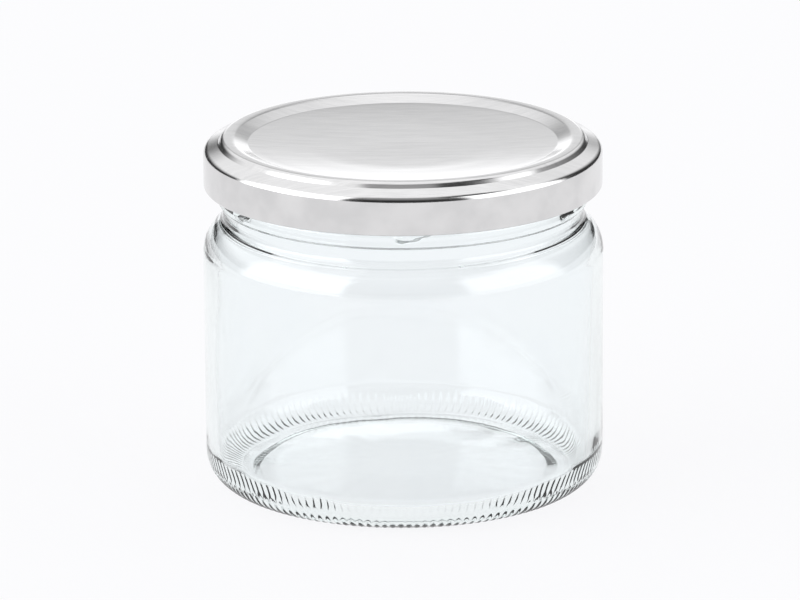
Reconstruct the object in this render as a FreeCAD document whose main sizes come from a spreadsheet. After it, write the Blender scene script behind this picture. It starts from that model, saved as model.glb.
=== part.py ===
# Twist-off preserving jar of clear pressed glass with its tinplate lid screwed on.
# FreeCAD 1.1 macro, millimetres.  +Z is up, the axis of the jar is Z, and the
# origin is the centre of the bearing ring on which the jar stands.
#
#   jar   one piece of glass: sole with a shallow push-up, round heel, straight
#         wall, round shoulder, neck groove, neck bead, six thread runs, sealing rim
#   lid   one piece of pressed sheet: sunk panel, raised sealing channel with its
#         cast sealing compound, step ring, skirt, curled edge with six lugs
import FreeCAD, Part
import Sketcher
import math
import os

doc = FreeCAD.newDocument("PreservingJar")

# ---------------------------------------------------------------- driving sizes
SIZES = [
    # glass, outside
    ("body_radius", 43.15, "radius of the straight wall"),
    ("heel_round", 6.8, "radius of the heel between wall and sole"),
    ("sole_edge", 1.2, "height of the heel corner above the bearing ring"),
    ("bearing_outer", 36.6, "outer radius of the flat bearing ring"),
    ("bearing_inner", 33.2, "inner radius of the flat bearing ring"),
    ("pushup_edge_radius", 31.6, "radius where the push-up levels off"),
    ("pushup_edge", 0.5, "height of the push-up at that radius"),
    ("pushup_centre", 1.2, "height of the push-up near the axis"),
    ("pushup_centre_radius", 14.0, "radius of the flatter middle of the push-up"),
    ("shoulder_corner", 53.3, "height of the lower corner that the shoulder rounds"),
    ("shoulder_round", 8.1, "radius of the shoulder there"),
    ("shoulder_top_radius", 41.27, "radius of the upper corner that the shoulder rounds"),
    ("shoulder_top", 56.41, "height of that corner"),
    ("shoulder_top_round", 5.4, "radius of the shoulder there"),
    ("groove_radius", 38.9, "radius of the groove under the neck bead"),
    ("groove_low", 58.83, "height of the foot of the groove"),
    ("groove_round", 2.0, "fillet between the shoulder and the groove"),
    ("groove_high", 61.75, "height of the top of the groove"),
    ("bead_radius", 39.7, "radius of the neck bead"),
    ("bead_low", 62.4, "lower edge of the neck bead"),
    ("bead_high", 64.5, "upper edge of the neck bead"),
    ("neck_radius", 39.3, "radius of the neck between the threads"),
    ("neck_foot", 65.6, "height where the neck meets the bead"),
    ("rim_radius", 38.55, "outer radius of the sealing rim"),
    ("rim_step_low", 71.4, "height where the neck starts to narrow to the rim"),
    ("rim_step_high", 72.3, "height where the rim starts"),
    ("rim_top", 75.28, "height of the sealing rim"),
    ("rim_round", 1.25, "rounding of the sealing rim"),
    ("mouth_radius", 35.95, "inner radius of the mouth"),
    # glass, inside
    ("mouth_foot", 57.3, "height where the mouth opens into the shoulder"),
    ("mouth_round", 2.4, "rounding there"),
    ("inner_radius", 40.75, "inner radius under the shoulder"),
    ("inner_shoulder", 55.1, "height of the inner shoulder corner"),
    ("inner_shoulder_round", 5.8, "radius of the inner shoulder"),
    ("inner_radius_low", 40.35, "inner radius just above the heel"),
    ("inner_heel_round", 6.2, "inner radius of the heel"),
    ("floor_edge", 2.6, "height of the floor at its edge"),
    ("floor_centre", 3.5, "height of the floor near the axis"),
    ("floor_centre_radius", 14.0, "radius of the flatter middle of the floor"),
    # threads
    ("thread_count", 6, "thread runs, and lugs on the lid"),
    ("thread_crest", 41.05, "radius of the thread crest"),
    ("thread_root", 38.7, "radius inside the glass where the thread starts"),
    ("thread_root_width", 2.7, "width of the thread at its root"),
    ("thread_crest_width", 0.9, "width of the thread at its crest"),
    ("thread_start", 67.3, "height of the middle of the thread at its low end"),
    ("thread_rise", 2.8, "climb of one thread run"),
    ("thread_turn", 57.0, "angle of one thread run"),
    ("thread_plane", -73.0, "angle of the low end of the first thread from +X"),
    ("stop_rise", 2.75, "drop of the thread stop below the thread"),
    ("stop_turn", 18.0, "angle of the thread stop"),
    ("stop_start", 64.55, "height of the middle of the thread stop at its low end"),
    ("stop_plane", -91.0, "angle of the low end of the first stop from +X"),
    # lid
    ("gauge", 0.25, "sheet thickness"),
    ("panel_centre", 74.1, "height of the panel on the axis"),
    ("panel_dish_radius", 19.0, "radius of the flatter middle of the panel"),
    ("panel_dish_round", 230.0, "radius of the dish of the panel"),
    ("panel_edge_radius", 33.2, "radius of the panel"),
    ("panel_edge", 75.0, "height of the panel at its edge"),
    ("panel_edge_round", 0.9, "rounding at the edge of the panel"),
    ("channel_inner", 36.5, "inner corner of the channel"),
    ("channel_inner_round", 3.2, "rounding of the inner corner of the channel"),
    ("channel_outer", 38.75, "outer corner of the channel"),
    ("lid_top", 76.35, "height of the channel"),
    ("channel_round", 1.3, "rounding of the outer corner of the channel"),
    ("step_radius", 39.7, "radius of the foot of the channel"),
    ("step_height", 75.1, "height of the step ring there"),
    ("skirt_radius", 42.85, "outer radius of the skirt"),
    ("skirt_top", 73.94, "height of the skirt corner"),
    ("skirt_round", 1.65, "rounding of the skirt corner"),
    ("skirt_bottom", 65.7, "lower edge of the curl"),
    ("curl_width", 1.15, "width of the curl"),
    ("curl_height", 1.25, "height of the turned-up edge of the curl"),
    ("curl_round", 0.55, "outer rounding of the curl"),
    ("compound_face", 75.3, "face of the sealing compound on the rim"),
    ("compound_outer", 38.5, "outer radius of the sealing compound"),
    ("compound_inner", 36.2, "inner radius of the sealing compound"),
    ("lug_reach", 40.0, "radius that the lugs reach in to"),
    ("lug_width", 11.0, "width of a lug"),
    ("lug_low", 65.85, "underside of a lug"),
    ("lug_high", 66.4, "upper face of a lug"),
    ("lug_angle", 28.0, "angle of the first lug from -Y"),
]
sheet = doc.addObject("Spreadsheet::Sheet", "Dims")
value = {}
for row, (alias, number, note) in enumerate(SIZES, start=1):
    sheet.set("A%d" % row, alias)
    sheet.set("B%d" % row, repr(number))
    sheet.set("C%d" % row, note)
    sheet.setAlias("B%d" % row, alias)
    value[alias] = number
doc.recompute()


def evaluate(expression):
    """Value of an expression of sheet names, for the sketch's starting point."""
    total = 0.0
    for term in expression.replace("- ", "+ -").split("+ "):
        term = term.strip()
        if not term:
            continue
        factor = 1.0
        if term.startswith("-"):
            factor, term = -1.0, term[1:].strip()
        for piece in term.split("*"):
            piece = piece.strip()
            if piece.startswith("Dims."):
                factor *= value[piece[5:]]
            else:
                factor *= float(piece)
        total += factor
    return total


def plane_of(body, role):
    for feature in body.Origin.OriginFeatures:
        if feature.Role == role:
            return feature
    raise RuntimeError("no plane " + role)


def new_sketch(body, name, role="XZ_Plane"):
    sketch = body.newObject("Sketcher::SketchObject", name)
    sketch.AttachmentSupport = [(plane_of(body, role), "")]
    sketch.MapMode = "FlatFace"
    doc.recompute()
    return sketch


def rounded_profile(sketch, corners):
    """Closed outline of straight lines with rounded corners.

    corners is a list of (x, y, radius) expressions, in order round the outline.
    Each corner is a construction point with two dimensions; the two lines pass
    through it, and an arc of the given radius is tangent to both.
    """
    count = len(corners)
    points = [FreeCAD.Vector(evaluate(c[0]), evaluate(c[1]), 0) for c in corners]
    radii = [evaluate(c[2]) if c[2] else 0.0 for c in corners]
    starts, ends, centres = [], [], []
    for i in range(count):
        here, before, after = points[i], points[i - 1], points[(i + 1) % count]
        to_before = (before - here).normalize()
        to_after = (after - here).normalize()
        if radii[i] == 0.0:
            starts.append(here)
            ends.append(here)
            centres.append(None)
            continue
        half = to_before.getAngle(to_after) / 2.0
        reach = radii[i] / math.tan(half)
        room = min((before - here).Length, (after - here).Length)
        if reach > room:
            raise RuntimeError("corner %d of %s has no room" % (i, sketch.Name))
        starts.append(here + to_before * reach)
        ends.append(here + to_after * reach)
        middle = (to_before + to_after).normalize()
        centres.append(here + middle * (radii[i] / math.sin(half)))
    lines = []
    for i in range(count):
        begin, finish = ends[i], starts[(i + 1) % count]
        if (finish - begin).Length < 1e-6:
            raise RuntimeError("line %d of %s has no length" % (i, sketch.Name))
        lines.append(sketch.addGeometry(Part.LineSegment(begin, finish), False))
    bind = []

    def dimension(kind, geometry, vertex, number, expression):
        index = sketch.addConstraint(
            Sketcher.Constraint(kind, -1, 1, geometry, vertex, number))
        bind.append((index, expression))

    for i in range(count):
        line_in, line_out = lines[i - 1], lines[i]
        if radii[i] == 0.0:
            sketch.addConstraint(
                Sketcher.Constraint("Coincident", line_in, 2, line_out, 1))
            dimension("DistanceX", line_out, 1, points[i].x, corners[i][0])
            dimension("DistanceY", line_out, 1, points[i].y, corners[i][1])
            continue
        centre = centres[i]
        first = math.atan2(starts[i].y - centre.y, starts[i].x - centre.x)
        last = math.atan2(ends[i].y - centre.y, ends[i].x - centre.x)
        turn = (last - first + math.pi) % (2 * math.pi) - math.pi
        circle = Part.Circle(centre, FreeCAD.Vector(0, 0, 1), radii[i])
        if turn > 0:
            arc = sketch.addGeometry(Part.ArcOfCircle(circle, first, first + turn), False)
            arc_in, arc_out = 1, 2
        else:
            arc = sketch.addGeometry(Part.ArcOfCircle(circle, first + turn, first), False)
            arc_in, arc_out = 2, 1
        corner = sketch.addGeometry(Part.Point(points[i]), True)
        sketch.addConstraint(Sketcher.Constraint("Tangent", line_in, 2, arc, arc_in))
        sketch.addConstraint(Sketcher.Constraint("Tangent", line_out, 1, arc, arc_out))
        sketch.addConstraint(Sketcher.Constraint("PointOnObject", corner, 1, line_in))
        sketch.addConstraint(Sketcher.Constraint("PointOnObject", corner, 1, line_out))
        dimension("DistanceX", corner, 1, points[i].x, corners[i][0])
        dimension("DistanceY", corner, 1, points[i].y, corners[i][1])
        index = sketch.addConstraint(Sketcher.Constraint("Radius", arc, radii[i]))
        bind.append((index, corners[i][2]))
    for index, expression in bind:
        if expression.replace(".", "").replace("-", "").strip().isdigit():
            continue
        sketch.setExpression("Constraints[%d]" % index, expression)
    status = sketch.solve()
    if status != 0:
        raise RuntimeError("%s does not solve: %d" % (sketch.Name, status))
    return sketch


def revolve(body, sketch, name, kind="PartDesign::Revolution"):
    feature = body.newObject(kind, name)
    feature.Profile = sketch
    feature.ReferenceAxis = (sketch, ["V_Axis"])
    feature.Angle = 360.0
    doc.recompute()
    return feature


def pattern(body, features, name, count_alias):
    polar = body.newObject("PartDesign::PolarPattern", name)
    polar.Originals = features
    polar.Axis = (axis_of(body), [""])
    polar.Angle = 360.0
    polar.Occurrences = int(value[count_alias])
    polar.setExpression("Occurrences", "Dims." + count_alias)
    body.Tip = polar
    doc.recompute()
    return polar


def axis_of(body):
    for feature in body.Origin.OriginFeatures:
        if feature.Role == "Z_Axis":
            return feature
    raise RuntimeError("no axis")


def named_body(name):
    body = doc.addObject("PartDesign::Body", name)
    body.Label = name
    return body


D = "Dims."

# ------------------------------------------------------------------------- jar
jar = named_body("jar")
glass = new_sketch(jar, "GlassProfile")
rounded_profile(glass, [
    # underside: push-up, step to the bearing ring, sole, heel
    ("0", D + "pushup_centre", ""),
    (D + "pushup_centre_radius", D + "pushup_centre", "120"),
    (D + "pushup_edge_radius", D + "pushup_edge", "1.6"),
    (D + "bearing_inner", "0", "0.7"),
    (D + "bearing_outer", "0", "1.5"),
    (D + "body_radius", D + "sole_edge", D + "heel_round"),
    # shoulder, groove, bead, neck, rim
    (D + "body_radius", D + "shoulder_corner", D + "shoulder_round"),
    (D + "shoulder_top_radius", D + "shoulder_top", D + "shoulder_top_round"),
    (D + "groove_radius", D + "groove_low", D + "groove_round"),
    (D + "groove_radius", D + "groove_high", "0.3"),
    (D + "bead_radius", D + "bead_low", "0.3"),
    (D + "bead_radius", D + "bead_high", "0.4"),
    (D + "neck_radius", D + "neck_foot", "0.7"),
    (D + "neck_radius", D + "rim_step_low", "0.6"),
    (D + "rim_radius", D + "rim_step_high", "0.6"),
    (D + "rim_radius", D + "rim_top", D + "rim_round"),
    (D + "mouth_radius", D + "rim_top", D + "rim_round"),
    # inside: mouth, shoulder, wall, heel, floor
    (D + "mouth_radius", D + "mouth_foot", D + "mouth_round"),
    (D + "inner_radius", D + "inner_shoulder", D + "inner_shoulder_round"),
    (D + "inner_radius_low", D + "floor_edge", D + "inner_heel_round"),
    (D + "floor_centre_radius", D + "floor_centre", "120"),
    ("0", D + "floor_centre", ""),
])
revolve(jar, glass, "GlassBlank")
blank_volume = jar.Shape.Volume
print("blank", round(blank_volume, 1), jar.Shape.isValid())


def turned_sketch(body, name, role, base, angle_expression, base_alias=None):
    """Sketch on an origin plane of the body, turned about the Z axis."""
    sketch = new_sketch(body, name, role)
    about = FreeCAD.Vector(0, 1, 0) if role == "XZ_Plane" else FreeCAD.Vector(0, 0, 1)
    sketch.AttachmentOffset = FreeCAD.Placement(
        base, FreeCAD.Rotation(about, evaluate(angle_expression)))
    sketch.setExpression("AttachmentOffset.Rotation.Angle", angle_expression)
    if base_alias:
        sketch.setExpression("AttachmentOffset.Base.z", "Dims." + base_alias)
    doc.recompute()
    return sketch


def thread_run(name, angle_expression, low_expression, rise_alias, turn_alias):
    """Ridge with sloping flanks that climbs round the neck."""
    profile = turned_sketch(jar, name + "Profile", "XZ_Plane",
                            FreeCAD.Vector(0, 0, 0), angle_expression)
    rounded_profile(profile, [
        (D + "thread_root", low_expression + " - 0.5*Dims.thread_root_width", ""),
        (D + "thread_crest", low_expression + " - 0.5*Dims.thread_crest_width", "0.5"),
        (D + "thread_crest", low_expression + " + 0.5*Dims.thread_crest_width", "0.5"),
        (D + "thread_root", low_expression + " + 0.5*Dims.thread_root_width", ""),
    ])
    ridge = jar.newObject("PartDesign::AdditiveHelix", name)
    ridge.Profile = profile
    ridge.ReferenceAxis = (profile, ["V_Axis"])
    ridge.Mode = "height-turns-angle"
    ridge.Height = value[rise_alias]
    ridge.Turns = value[turn_alias] / 360.0
    ridge.setExpression("Height", "Dims." + rise_alias)
    ridge.setExpression("Turns", "Dims.%s / 360" % turn_alias)
    ridge.LeftHanded = False
    ridge.Reversed = False
    ridge.Refine = False
    jar.Tip = ridge
    doc.recompute()
    return ridge


# Threads: at the low end of each run a short steep ridge goes on down to the bead
# and stops the lug.
for run in range(int(value["thread_count"])):
    turn = " + %d" % (run * 360 // int(value["thread_count"]))
    before = jar.Shape.Volume
    thread_run("ThreadRun%d" % (run + 1), "Dims.thread_plane" + turn,
               "Dims.thread_start", "thread_rise", "thread_turn")
    between = jar.Shape.Volume
    thread_run("ThreadStop%d" % (run + 1), "Dims.stop_plane" + turn,
               "Dims.stop_start", "stop_rise", "stop_turn")
    print("run", run + 1, "adds", round(between - before, 2),
          round(jar.Shape.Volume - between, 2), jar.Shape.isValid(), len(jar.Shape.Solids))
    if between - before < 50 or jar.Shape.Volume - between < 5:
        raise RuntimeError("a thread run adds nothing")
print("jar", jar.Shape.BoundBox)

# ------------------------------------------------------------------------- lid
lid = named_body("lid")
sheet_metal = new_sketch(lid, "LidProfile")
rounded_profile(sheet_metal, [
    # outside: panel, channel, step ring, skirt, curl
    ("0", D + "panel_centre", ""),
    (D + "panel_dish_radius", D + "panel_centre", D + "panel_dish_round"),
    (D + "panel_edge_radius", D + "panel_edge", D + "panel_edge_round"),
    (D + "channel_inner", D + "lid_top", D + "channel_inner_round"),
    (D + "channel_outer", D + "lid_top", D + "channel_round"),
    (D + "step_radius", D + "step_height", "0.5"),
    (D + "skirt_radius", D + "skirt_top", D + "skirt_round"),
    (D + "skirt_radius", D + "skirt_bottom", D + "curl_round"),
    (D + "skirt_radius - Dims.curl_width", D + "skirt_bottom", D + "curl_round"),
    (D + "skirt_radius - Dims.curl_width", D + "skirt_bottom + Dims.curl_height", ""),
    # inside: curl, skirt, step ring, sealing compound in the channel, panel
    (D + "skirt_radius - Dims.curl_width + Dims.gauge", D + "skirt_bottom + Dims.curl_height", ""),
    (D + "skirt_radius - Dims.curl_width + Dims.gauge", D + "skirt_bottom + Dims.gauge",
     D + "curl_round - Dims.gauge"),
    (D + "skirt_radius - Dims.gauge", D + "skirt_bottom + Dims.gauge",
     D + "curl_round - Dims.gauge"),
    (D + "skirt_radius - Dims.gauge", D + "skirt_top - 0.697*Dims.gauge",
     D + "skirt_round - Dims.gauge"),
    (D + "step_radius - 0.62*Dims.gauge", D + "step_height - 0.838*Dims.gauge", "0.4"),
    (D + "compound_outer", D + "compound_face", "0.3"),
    (D + "compound_inner", D + "compound_face", "0.3"),
    (D + "panel_edge_radius + 0.227*Dims.gauge", D + "panel_edge - 0.988*Dims.gauge", D + "panel_edge_round"),
    (D + "panel_dish_radius", D + "panel_centre - Dims.gauge", D + "panel_dish_round"),
    ("0", D + "panel_centre - Dims.gauge", ""),
])
revolve(lid, sheet_metal, "LidShell")
shell_volume = lid.Shape.Volume
print("lid shell", round(shell_volume, 1), lid.Shape.isValid())
lug_outline = turned_sketch(lid, "LugOutline", "XY_Plane",
                            FreeCAD.Vector(0, 0, value["lug_low"]), "Dims.lug_angle", "lug_low")
rounded_profile(lug_outline, [
    ("-0.5*Dims.lug_width", "-1*Dims.lug_reach", "1.6"),
    ("-0.5*Dims.lug_width", "-1*Dims.skirt_radius + 0.8", ""),
    ("0.5*Dims.lug_width", "-1*Dims.skirt_radius + 0.8", ""),
    ("0.5*Dims.lug_width", "-1*Dims.lug_reach", "1.6"),
])
lug = lid.newObject("PartDesign::Pad", "Lug")
lug.Profile = lug_outline
lug.Length = value["lug_high"] - value["lug_low"]
lug.setExpression("Length", "Dims.lug_high - Dims.lug_low")
lid.Tip = lug
doc.recompute()
print("lug adds", round(lid.Shape.Volume - shell_volume, 2), lid.Shape.isValid())
pattern(lid, [lug], "Lugs", "thread_count")
print("lugs add", round(lid.Shape.Volume - shell_volume, 2), lid.Shape.isValid(), len(lid.Shape.Solids))
print(lid.Shape.BoundBox)

# ---------------------------------------------------------------------- checks
doc.recompute()
for item in doc.Objects:
    if "Invalid" in item.State or "Error" in item.State:
        raise RuntimeError("%s failed: %s" % (item.Name, item.State))
pieces = [jar, lid]
for piece in pieces:
    shape = piece.Shape
    if shape.isNull() or not shape.isValid() or len(shape.Solids) != 1:
        raise RuntimeError("bad shape: " + piece.Label)
common = jar.Shape.common(lid.Shape)
print("jar and lid share", round(common.Volume, 5), "gap", round(jar.Shape.distToShape(lid.Shape)[0], 4))

# ----------------------------------------------------------------------- files
os.makedirs("parts", exist_ok=True)
for piece in pieces:
    piece.Shape.exportStep("parts/%s.step" % piece.Label)
    print(piece.Label, "volume", round(piece.Shape.Volume, 1), piece.Shape.BoundBox)
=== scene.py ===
# Looks of the preserving jar: clear pressed glass and a satin tinplate lid, built
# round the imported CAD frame.  Metres, +Z up, the jar's axis is Z, -Y is the front.
import bpy
import math
import numpy as np
from mathutils import Matrix, Vector


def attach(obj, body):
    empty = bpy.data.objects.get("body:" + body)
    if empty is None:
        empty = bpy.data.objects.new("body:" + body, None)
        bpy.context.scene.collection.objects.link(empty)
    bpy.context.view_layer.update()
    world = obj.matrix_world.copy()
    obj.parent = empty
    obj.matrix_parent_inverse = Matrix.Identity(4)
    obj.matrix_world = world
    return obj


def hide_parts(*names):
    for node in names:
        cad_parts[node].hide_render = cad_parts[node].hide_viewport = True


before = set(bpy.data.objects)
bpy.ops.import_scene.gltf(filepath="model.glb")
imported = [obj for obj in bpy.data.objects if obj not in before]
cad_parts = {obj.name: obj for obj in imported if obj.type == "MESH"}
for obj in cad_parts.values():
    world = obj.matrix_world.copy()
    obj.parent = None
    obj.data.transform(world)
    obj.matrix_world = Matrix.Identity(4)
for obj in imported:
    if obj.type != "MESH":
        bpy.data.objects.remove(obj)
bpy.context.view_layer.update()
scene = bpy.context.scene
MM = 0.001


# ------------------------------------------------------------------ mesh helpers
def rounded(corners, step_deg=9.0, longest=None):
    """Points along an open outline of (r, z, radius) corners, in millimetres."""
    out = []
    n = len(corners)
    for i, (x, y, radius) in enumerate(corners):
        here = np.array([x, y], float)
        if radius == 0 or i in (0, n - 1):
            out.append(here)
            continue
        before = np.array(corners[i - 1][:2], float)
        after = np.array(corners[i + 1][:2], float)
        a = (before - here) / np.linalg.norm(before - here)
        b = (after - here) / np.linalg.norm(after - here)
        half = math.acos(max(-1, min(1, float(a @ b)))) / 2
        reach = radius / math.tan(half)
        centre = here + (a + b) / np.linalg.norm(a + b) * radius / math.sin(half)
        p, q = here + a * reach - centre, here + b * reach - centre
        first, last = math.atan2(p[1], p[0]), math.atan2(q[1], q[0])
        turn = (last - first + math.pi) % (2 * math.pi) - math.pi
        steps = max(2, int(math.ceil(abs(math.degrees(turn)) / step_deg)))
        for k in range(steps + 1):
            t = first + turn * k / steps
            out.append(centre + radius * np.array([math.cos(t), math.sin(t)]))
    # long straight runs get points in between
    if longest:
        full = [out[0]]
        for p, q in zip(out, out[1:]):
            d = float(np.linalg.norm(q - p))
            k = max(1, int(math.ceil(d / longest)))
            full += [p + (q - p) * j / k for j in range(1, k + 1)]
        out = full
    kept = [out[0]]
    for p in out[1:]:
        if np.linalg.norm(p - kept[-1]) > 1e-4:
            kept.append(p)
    return kept


def revolve(name, rings, shape, axis_start=None, axis_end=None):
    """Mesh of rings round Z.  rings is a list of (r, z, segments, tag) in
    millimetres; shape(r, z, angle array, tag) returns displaced (r, z) arrays.
    Neighbouring rings may differ in segments by a whole factor."""
    verts, faces, start = [], [], []
    for r, z, n, tag in rings:
        a = np.arange(n) * 2 * math.pi / n
        rr, zz = shape(np.full(n, r, float), np.full(n, z, float), a, tag)
        start.append(len(verts))
        verts += list(zip(rr * np.cos(a) * MM, rr * np.sin(a) * MM, zz * MM))
    for i in range(len(rings) - 1):
        n, m = rings[i][2], rings[i + 1][2]
        s, t = start[i], start[i + 1]
        if n == m:
            for j in range(n):
                k = (j + 1) % n
                faces.append((s + j, s + k, t + k, t + j))
        elif m > n:
            f = m // n
            for j in range(n):
                k = (j + 1) % n
                h = f // 2
                for u in range(f):
                    a0, a1 = t + (j * f + u) % m, t + (j * f + u + 1) % m
                    faces.append((s + j if u < h else s + k, a1, a0))
                faces.append((s + j, s + k, t + (j * f + h) % m))
        else:
            f = n // m
            for j in range(m):
                k = (j + 1) % m
                h = f // 2
                for u in range(f):
                    a0, a1 = s + (j * f + u) % n, s + (j * f + u + 1) % n
                    faces.append((a0, a1, t + j if u < h else t + k))
                faces.append((s + (j * f + h) % n, t + k, t + j))
    for which, height in ((0, axis_start), (-1, axis_end)):
        if height is None:
            continue
        verts.append((0.0, 0.0, height * MM))
        c, s, n = len(verts) - 1, start[which], rings[which][2]
        for j in range(n):
            k = (j + 1) % n
            faces.append((c, s + k, s + j) if which == 0 else (c, s + j, s + k))
    mesh = bpy.data.meshes.new(name)
    mesh.from_pydata(verts, [], faces)
    mesh.update()
    mesh.polygons.foreach_set("use_smooth", [True] * len(mesh.polygons))
    obj = bpy.data.objects.new(name, mesh)
    scene.collection.objects.link(obj)
    return obj


def smoothstep(a, b, x):
    t = np.clip((x - a) / (b - a), 0, 1)
    return t * t * (3 - 2 * t)


def wave_sum(seed, angle, z, terms):
    """Smooth unevenness round the jar: a few low harmonics in angle and height."""
    rng = np.random.RandomState(seed)
    total = np.zeros_like(angle)
    for k_low, k_high, z_low, z_high, size in terms:
        for _ in range(6):
            k = rng.randint(k_low, k_high + 1)
            w = rng.uniform(z_low, z_high)
            total = total + size * np.sin(k * angle + w * z + rng.uniform(0, 6.283)) / 2.4
    return total


# ------------------------------------------------------------------ the glass
BODY_R = 43.15
outside = [
    (0, 1.2, 0), (14.0, 1.2, 120), (31.6, 0.5, 1.6), (33.2, 0, 0.7), (36.6, 0, 1.5),
    (43.15, 1.2, 6.8), (43.15, 53.3, 8.1), (41.27, 56.41, 5.4), (38.9, 58.83, 2.0),
    (38.9, 61.75, 0.3), (39.7, 62.4, 0.3), (39.7, 64.5, 0.4), (39.3, 65.6, 0.7), (39.3, 71.4, 0.6),
    (38.55, 72.3, 0.6), (38.55, 75.28, 1.25), (35.95, 75.28, 1.25),
    (35.95, 57.3, 2.4), (40.75, 55.1, 5.8), (40.35, 2.6, 6.2), (14.0, 3.5, 120), (0, 3.5, 0)]

COARSE, FINE, RIBBED = 288, 576, 1728


def segments_for(r, z, side):
    if side == "out" and r > 35.0 and z < 6.6:
        return RIBBED
    if side == "out" and r > 38.0 and 60.0 < z < 72.8:
        return FINE
    return COARSE


path = rounded(outside, 7.5, 4.0)
# walk along the outline: everything up to the crest of the rim is outside
crest = max(range(len(path)), key=lambda i: path[i][1])
glass_rings = []
for i, (r, z) in enumerate(path):
    if r < 0.5:
        continue
    side = "out" if i <= crest else "in"
    glass_rings.append([r, z, segments_for(r, z, side), side])
# more rows where the threads and ribs need them
dense = [glass_rings[0]]
for ring in glass_rings[1:]:
    last = dense[-1]
    gap = math.hypot(ring[0] - last[0], ring[1] - last[1])
    limit = {RIBBED: 1.0, FINE: 0.75, COARSE: 4.0}[max(ring[2], last[2])]
    k = max(1, int(math.ceil(gap / limit)))
    for j in range(1, k + 1):
        u = j / k
        r, z = last[0] + (ring[0] - last[0]) * u, last[1] + (ring[1] - last[1]) * u
        dense.append([r, z, ring[2] if j == k else min(ring[2], last[2]), ring[3]])
glass_rings = dense

RIBS = 144
RIB_DEPTH = 0.24
THREADS = 6


def thread_height(angle):
    """Middle height and strength of the thread at an angle, for each of six runs."""
    total = []
    for run in range(THREADS):
        a0 = math.radians(-91.0 + 60 * run)
        d = (angle - a0 + math.pi) % (2 * math.pi) - math.pi
        d = np.degrees(d)                       # 0 at the low end of the stop
        mid = np.where(d < 18.0, 64.75 + 2.55 * smoothstep(-2, 18.0, d) ** 1.1,
                       67.3 + (d - 18.0) * 2.8 / 57.0)
        strength = smoothstep(-2.5, 1.0, d) * (1 - smoothstep(66.0, 75.0, d))
        proud = 0.40 * smoothstep(-2.5, 1.0, d) * (1 - smoothstep(16.0, 26.0, d))
        total.append((mid, strength, proud))
    return total


def glass_shape(r, z, a, side):
    if side == "out":
        base = r.copy()
        # ribs of the heel: soft ridges, deepest close to the sole
        zz = float(z[0])
        if r[0] > 38.0 and zz < 6.6:
            fade = float(smoothstep(37.4, 38.4, r[0]) * (1 - 0.45 * smoothstep(1.0, 2.6, zz)) * (1 - smoothstep(4.2, 4.9, zz)))
            d = (a * RIBS / (2 * math.pi)) % 1.0 - 0.5          # -0.5..0.5 between ridges
            ridge = 0.5 + 0.5 * np.cos(2 * math.pi * d)
            sunk = RIB_DEPTH * fade * (1 - ridge)
            tilt = math.asin(max(-1.0, min(1.0, (7.9 - zz) / 6.8))) if zz < 7.9 else 0.0
            r = r - sunk * math.cos(tilt)
            z = z + sunk * math.sin(tilt)
        if 60.5 < zz < 72.8 and base[0] > 38.0:
            crest_r = base.copy()
            for mid, strength, proud in thread_height(a):
                h = z - mid
                prof = 1 - smoothstep(0.55, 1.30, np.abs(h))
                crest_r = np.maximum(crest_r, base + (41.05 + proud - base) * prof * strength)
            r = crest_r
        # very slight out-of-round
        r = r + 0.05 * np.cos(2 * a + 0.6) * smoothstep(2.0, 12.0, z) * (1 - smoothstep(52, 60, z)) - 0.05 * smoothstep(2.0, 12.0, z) * (1 - smoothstep(52, 60, z))
        return r, z
    # inside: the blown surface is uneven, most of all round the floor
    wall = smoothstep(8, 16, z) * (1 - smoothstep(56, 62, z))
    foot = 1 - smoothstep(7, 15, z)
    d = wave_sum(3, a, z, [(1, 3, 0.02, 0.10, 0.16), (3, 7, 0.05, 0.2, 0.05)])
    e = wave_sum(5, a, z, [(2, 5, 0.0, 0.1, 0.30), (9, 23, 0.0, 0.3, 0.07)])
    rim = np.clip(r / 34.0, 0, 1) ** 3
    r = r + d * wall + e * foot * rim
    z = z + 0.5 * e * foot * rim * (1 - smoothstep(4.6, 9, z))
    return r, z


jar = revolve("jar_glass", [tuple(g) for g in glass_rings], glass_shape, 1.2, 3.5)


# ------------------------------------------------------------------ the lid
G = 0.25
lid_top = [
    (0, 74.1, 0), (19.0, 74.1, 230), (33.2, 75.0, 0.9), (36.5, 76.35, 3.2), (38.75, 76.35, 1.3),
    (39.7, 75.1, 0.5), (42.85, 73.94, 1.65), (42.85, 65.7, 0.55), (41.7, 65.7, 0.55), (41.7, 66.95, 0)]
lid_under = [
    (41.95, 66.95, 0), (41.95, 65.95, 0.3), (42.6, 65.95, 0.3), (42.6, 73.767, 1.4),
    (39.545, 74.89, 0.75), (38.626, 76.1, 1.05), (36.55, 76.1, 3.0), (33.25, 74.75, 0.8),
    (19.0, 73.85, 230), (0, 73.85, 0)]
top_path = rounded(lid_top, 7.5, 3.0)
under_path = rounded(lid_under, 9.0, 3.0)
LID_N = 432
lid_rings = [(r, z, LID_N, "top") for r, z in top_path if r > 0.4]
lid_rings += [(r, z, LID_N, "under") for r, z in under_path if r > 0.4]
LUG_FIRST = math.radians(-90 + 28.0)


def lug_share(a):
    d = (a - LUG_FIRST + math.pi / 6) % (math.pi / 3) - math.pi / 6
    arc = np.abs(np.degrees(d))
    return 1 - smoothstep(6.4, 8.2, arc)


def lid_shape(r, z, a, tag):
    zz, rr = float(z[0]), float(r[0])
    # the curl is pressed in at the lugs
    if zz < 67.3 and 41.5 < rr < 42.2:
        share = lug_share(a)
        r = r - share * 1.65 * (1.0 if rr < 41.9 else 0.98)
        z = z - share * max(0.0, zz - 66.2) * 0.95
    # the pressed panel isn't quite flat
    if rr < 33.0 and 73.0 < zz < 75.0:
        z = z + 0.035 * np.sin(2 * a + 0.8) * (r / 33.0) ** 2 * (1 - smoothstep(28.0, 33.0, r))
    return r, z


lid = revolve("lid_metal", lid_rings, lid_shape, 74.1, 73.85)



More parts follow.
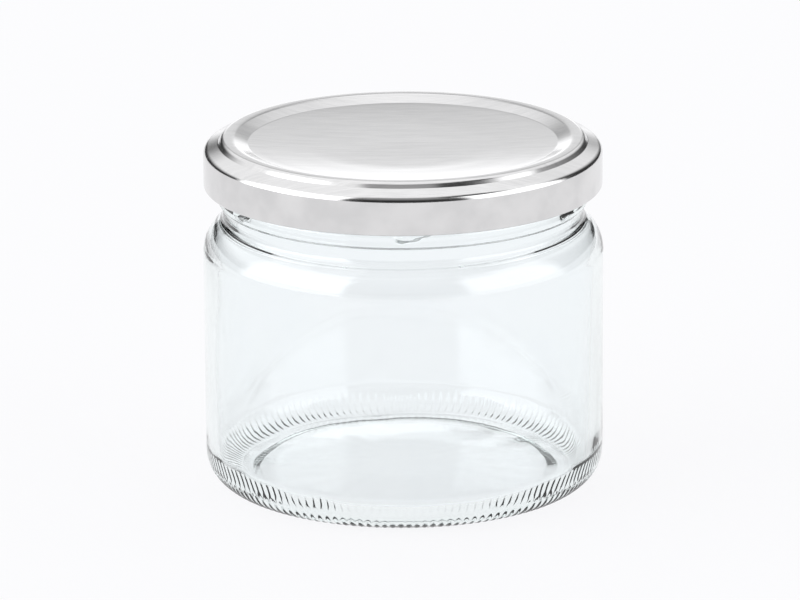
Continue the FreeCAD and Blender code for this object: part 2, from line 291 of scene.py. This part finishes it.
def ring_piece(name, outline, n):
    """Closed ring of the outline round Z."""
    verts, faces = [], []
    m = len(outline)
    for j in range(n):
        a = 2 * math.pi * j / n
        verts += [(r * math.cos(a) * MM, r * math.sin(a) * MM, z * MM) for r, z in outline]
    for j in range(n):
        k = (j + 1) % n
        for i in range(m):
            q = (i + 1) % m
            faces.append((j * m + i, k * m + i, k * m + q, j * m + q))
    mesh = bpy.data.meshes.new(name)
    mesh.from_pydata(verts, [], faces)
    mesh.update()
    mesh.polygons.foreach_set("use_smooth", [True] * len(mesh.polygons))
    obj = bpy.data.objects.new(name, mesh)
    scene.collection.objects.link(obj)
    return obj


seal_outline = [(36.45, 75.31), (37.0, 75.30), (37.5, 75.30), (38.1, 75.31), (38.38, 75.42),
                (38.3, 75.65), (38.05, 75.95), (37.8, 76.06), (37.2, 76.06), (36.98, 75.98),
                (36.62, 75.62), (36.38, 75.42)]
seal = ring_piece("lid_seal", seal_outline, 288)


# ------------------------------------------------------------------ materials
def material(name):
    m = bpy.data.materials.new(name)
    m.use_nodes = True
    tree = m.node_tree
    tree.nodes.clear()
    out = tree.nodes.new("ShaderNodeOutputMaterial")
    return m, tree, out


def link(tree, a, b):
    tree.links.new(a, b)


def math_node(tree, op, a, b=None, clamp=False):
    n = tree.nodes.new("ShaderNodeMath")
    n.operation = op
    n.use_clamp = clamp
    for i, v in enumerate((a, b)):
        if v is None:
            continue
        if isinstance(v, (int, float)):
            n.inputs[i].default_value = v
        else:
            link(tree, v, n.inputs[i])
    return n.outputs[0]


def ramp(tree, value, a, b, lo=0.0, hi=1.0, smooth=True):
    n = tree.nodes.new("ShaderNodeMapRange")
    n.interpolation_type = "SMOOTHSTEP" if smooth else "LINEAR"
    link(tree, value, n.inputs["Value"])
    n.inputs["From Min"].default_value = a
    n.inputs["From Max"].default_value = b
    n.inputs["To Min"].default_value = lo
    n.inputs["To Max"].default_value = hi
    return n.outputs["Result"]


def noise(tree, vector, scale, detail=2.0, roughness=0.5, stretch=None):
    if stretch:
        mp = tree.nodes.new("ShaderNodeMapping")
        mp.inputs["Scale"].default_value = stretch
        link(tree, vector, mp.inputs["Vector"])
        vector = mp.outputs["Vector"]
    n = tree.nodes.new("ShaderNodeTexNoise")
    n.inputs["Scale"].default_value = scale
    n.inputs["Detail"].default_value = detail
    n.inputs["Roughness"].default_value = roughness
    link(tree, vector, n.inputs["Vector"])
    return n.outputs["Fac"]


# glass: clear, faintly tinted where it is thick, with the soft waviness of the mould
glass, t, out = material("clear_glass")
p = t.nodes.new("ShaderNodeBsdfPrincipled")
p.inputs["Transmission Weight"].default_value = 1.0
p.inputs["IOR"].default_value = 1.52
coord = t.nodes.new("ShaderNodeTexCoord")
tint = t.nodes.new("ShaderNodeMix")
tint.data_type = "RGBA"
tint.inputs[6].default_value = (0.985, 0.992, 0.998, 1)
tint.inputs[7].default_value = (0.965, 0.980, 0.992, 1)
link(t, noise(t, coord.outputs["Object"], 60, 2), tint.inputs[0])
link(t, tint.outputs[2], p.inputs["Base Color"])
rough = ramp(t, noise(t, coord.outputs["Object"], 90, 3), 0.3, 0.7, 0.0, 0.012)
link(t, rough, p.inputs["Roughness"])
bump = t.nodes.new("ShaderNodeBump")
bump.inputs["Strength"].default_value = 0.05
bump.inputs["Distance"].default_value = 0.0004
link(t, noise(t, coord.outputs["Object"], 140, 2, 0.5, (1, 1, 0.45)), bump.inputs["Height"])
link(t, bump.outputs["Normal"], p.inputs["Normal"])
link(t, p.outputs[0], out.inputs["Surface"])
absorb = t.nodes.new("ShaderNodeVolumeAbsorption")
absorb.inputs["Color"].default_value = (0.55, 0.80, 0.72, 1)
absorb.inputs["Density"].default_value = 16.0
link(t, absorb.outputs[0], out.inputs["Volume"])

# tinplate: bright satin sheet.  The rolling lines run along X and show on the
# pressed top; the drawn skirt is smoother
tin, t, out = material("tinplate")
p = t.nodes.new("ShaderNodeBsdfPrincipled")
p.inputs["Metallic"].default_value = 1.0
p.inputs["Anisotropic"].default_value = 0.15
coord = t.nodes.new("ShaderNodeTexCoord")
sep = t.nodes.new("ShaderNodeSeparateXYZ")
link(t, coord.outputs["Object"], sep.inputs[0])
on_top = ramp(t, sep.outputs[2], 0.0729, 0.0737)
streak = noise(t, coord.outputs["Object"], 900, 3, 0.6, (0.10, 1.0, 0.2))
fine = noise(t, coord.outputs["Object"], 2600, 2, 0.5, (0.08, 1.0, 0.2))
cloud = noise(t, coord.outputs["Object"], 120, 3, 0.55)
both = math_node(t, "ADD", math_node(t, "MULTIPLY", streak, 0.55), math_node(t, "MULTIPLY", fine, 0.45))
flat = math_node(t, "ADD", math_node(t, "MULTIPLY", both, on_top),
                 math_node(t, "MULTIPLY", cloud, math_node(t, "SUBTRACT", 1.0, on_top)))
tone = t.nodes.new("ShaderNodeMix")
tone.data_type = "RGBA"
tone.inputs[6].default_value = (0.66, 0.655, 0.655, 1)
tone.inputs[7].default_value = (0.745, 0.738, 0.736, 1)
link(t, ramp(t, flat, 0.28, 0.72), tone.inputs[0])
link(t, tone.outputs[2], p.inputs["Base Color"])
link(t, ramp(t, flat, 0.25, 0.75, 0.125, 0.165), p.inputs["Roughness"])
bump = t.nodes.new("ShaderNodeBump")
bump.inputs["Strength"].default_value = 0.06
bump.inputs["Distance"].default_value = 0.00003
link(t, math_node(t, "MULTIPLY", both, on_top), bump.inputs["Height"])
link(t, bump.outputs["Normal"], p.inputs["Normal"])
link(t, p.outputs[0], out.inputs["Surface"])

# sealing compound: soft off-white plastisol
putty, t, out = material("seal_compound")
p = t.nodes.new("ShaderNodeBsdfPrincipled")
coord = t.nodes.new("ShaderNodeTexCoord")
tone = t.nodes.new("ShaderNodeMix")
tone.data_type = "RGBA"
tone.inputs[6].default_value = (0.62, 0.62, 0.60, 1)
tone.inputs[7].default_value = (0.74, 0.74, 0.72, 1)
link(t, noise(t, coord.outputs["Object"], 220, 3), tone.inputs[0])
link(t, tone.outputs[2], p.inputs["Base Color"])
p.inputs["Roughness"].default_value = 0.5
link(t, p.outputs[0], out.inputs["Surface"])

jar.data.materials.append(glass)
lid.data.materials.append(tin)
seal.data.materials.append(putty)

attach(jar, "root"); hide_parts("jar")
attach(lid, "root"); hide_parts("lid")
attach(seal, "root")

# ------------------------------------------------------------------ stage
# floor: a plain pale table top, the same all over and for every ray
bpy.ops.mesh.primitive_plane_add(size=6.0, location=(0, 0, -0.00002))
floor = bpy.context.object
floor.name = "floor"
fm, t, out = material("floor")
diffuse = t.nodes.new("ShaderNodeBsdfDiffuse")
diffuse.inputs["Color"].default_value = (0.06, 0.06, 0.06, 1)
emit = t.nodes.new("ShaderNodeEmission")
emit.inputs["Color"].default_value = (0.985, 0.985, 1.0, 1)
emit.inputs["Strength"].default_value = 0.92
add = t.nodes.new("ShaderNodeAddShader")
link(t, diffuse.outputs[0], add.inputs[0])
link(t, emit.outputs[0], add.inputs[1])
link(t, add.outputs[0], out.inputs["Surface"])
floor.data.materials.append(fm)

# studio round the jar, as a world: two tall windows in front on the left and the
# right, a pale ceiling, a pale strip behind and dark corners between them
world = bpy.data.worlds.new("studio")
scene.world = world
world.use_nodes = True
t = world.node_tree
t.nodes.clear()
wout = t.nodes.new("ShaderNodeOutputWorld")
bg = t.nodes.new("ShaderNodeBackground")
coord = t.nodes.new("ShaderNodeTexCoord")
sep = t.nodes.new("ShaderNodeSeparateXYZ")
link(t, coord.outputs["Generated"], sep.inputs[0])
X, Y, Z = sep.outputs
el = math_node(t, "MULTIPLY", math_node(t, "ARCSINE", Z), 57.2958)
az = math_node(t, "MULTIPLY", math_node(t, "ARCTAN2", X, Y), 57.2958)   # 0 behind, +90 right
azabs = math_node(t, "ABSOLUTE", az)


def mul(a, b):
    return math_node(t, "MULTIPLY", a, b)


def plus(a, b):
    return math_node(t, "ADD", a, b)


def inv(a):
    return math_node(t, "SUBTRACT", 1.0, a)


def band(value, a0, a1, b0, b1):
    """1 between a1 and b0, fading over a0..a1 and b0..b1."""
    return mul(ramp(t, value, a0, a1), inv(ramp(t, value, b0, b1)))


def over(below, above, share):
    """above laid over below."""
    return plus(mul(below, inv(share)), mul(above, share))


# dark corners, with the pale wall above them
level = plus(0.04, 0.0)
left_rear = mul(ramp(t, el, 8, 26), inv(ramp(t, az, -4, 0)))
level = over(level, plus(1.15, 0.0), mul(left_rear, band(az, -88, -74, -18, -6)))
slant = plus(el, mul(az, -0.50))            # el above a line rising to the right
level = over(level, plus(1.05, 0.0), mul(ramp(t, slant, -10, 12), band(az, 6, 18, 76, 90)))
# strip behind the jar: bright low down, greyer above
behind = inv(ramp(t, azabs, 6, 14))
strip = plus(ramp(t, el, 9, 13, 1.45, 0.86), ramp(t, el, 18, 29, 0.0, -0.30))
strip = plus(strip, ramp(t, el, 31, 40, 0.0, 0.75))
level = over(level, strip, behind)
# windows
left = mul(band(az, -147, -140, -80, -70), band(el, -6, 0, 50, 58))
right = mul(band(az, 71, 82, 136, 146), band(el, -6, 0, 44, 54))
level = over(level, plus(2.9, 0.0), left)
level = over(level, plus(2.1, 0.0), right)
# ceiling, lower on the left than on the right
ceiling_left = mul(ramp(t, el, 46, 60), inv(ramp(t, az, -2, 4)))
ceiling_rear = mul(ramp(t, el, 38, 56), inv(ramp(t, azabs, 86, 100)))
ceiling_all = ramp(t, el, 60, 78)
ceiling = math_node(t, "MAXIMUM", math_node(t, "MAXIMUM", mul(ceiling_left, inv(ramp(t, azabs, 136, 150))), ceiling_rear), ceiling_all)
level = over(level, plus(1.2, 0.0), ceiling)
front = mul(ramp(t, azabs, 144, 152), inv(ramp(t, el, 60, 76)))
level = over(level, ramp(t, el, 22, 64, 0.03, 0.42), front)
link(t, level, bg.inputs["Strength"])
bg.inputs["Color"].default_value = (0.985, 0.99, 1.0, 1)
link(t, bg.outputs[0], wout.inputs["Surface"])

# ------------------------------------------------------------------ camera
ELEVATION, ROLL = math.radians(16.42), math.radians(0.32)
DISTANCE, PIXELS_PER_M = 1.200, 4622.0
LOOK = Vector((0, 0, 0.0383))
OFF_X, OFF_Y = 3.67, 5.196
focal_px = PIXELS_PER_M * DISTANCE
cam = bpy.data.cameras.new("camera")
cam.sensor_width = 36.0
cam.sensor_fit = "HORIZONTAL"
cam.lens = focal_px * 36.0 / 800.0
cam.clip_start, cam.clip_end = 0.05, 20.0
cam_obj = bpy.data.objects.new("camera", cam)
scene.collection.objects.link(cam_obj)
place = LOOK + DISTANCE * Vector((0, -math.cos(ELEVATION), math.sin(ELEVATION)))
turn = (Matrix.Rotation(math.pi / 2 - ELEVATION, 4, "X")
        @ Matrix.Rotation(math.atan(OFF_X / focal_px), 4, "Y")
        @ Matrix.Rotation(math.atan(OFF_Y / focal_px), 4, "X")
        @ Matrix.Rotation(-ROLL, 4, "Z"))
cam_obj.matrix_world = Matrix.Translation(place) @ turn
scene.camera = cam_obj

scene.view_settings.view_transform = "Standard"
scene.view_settings.look = "None"
scene.cycles.transmission_bounces = 12
scene.cycles.max_bounces = 14
scene.cycles.caustics_reflective = True
scene.cycles.caustics_refractive = True
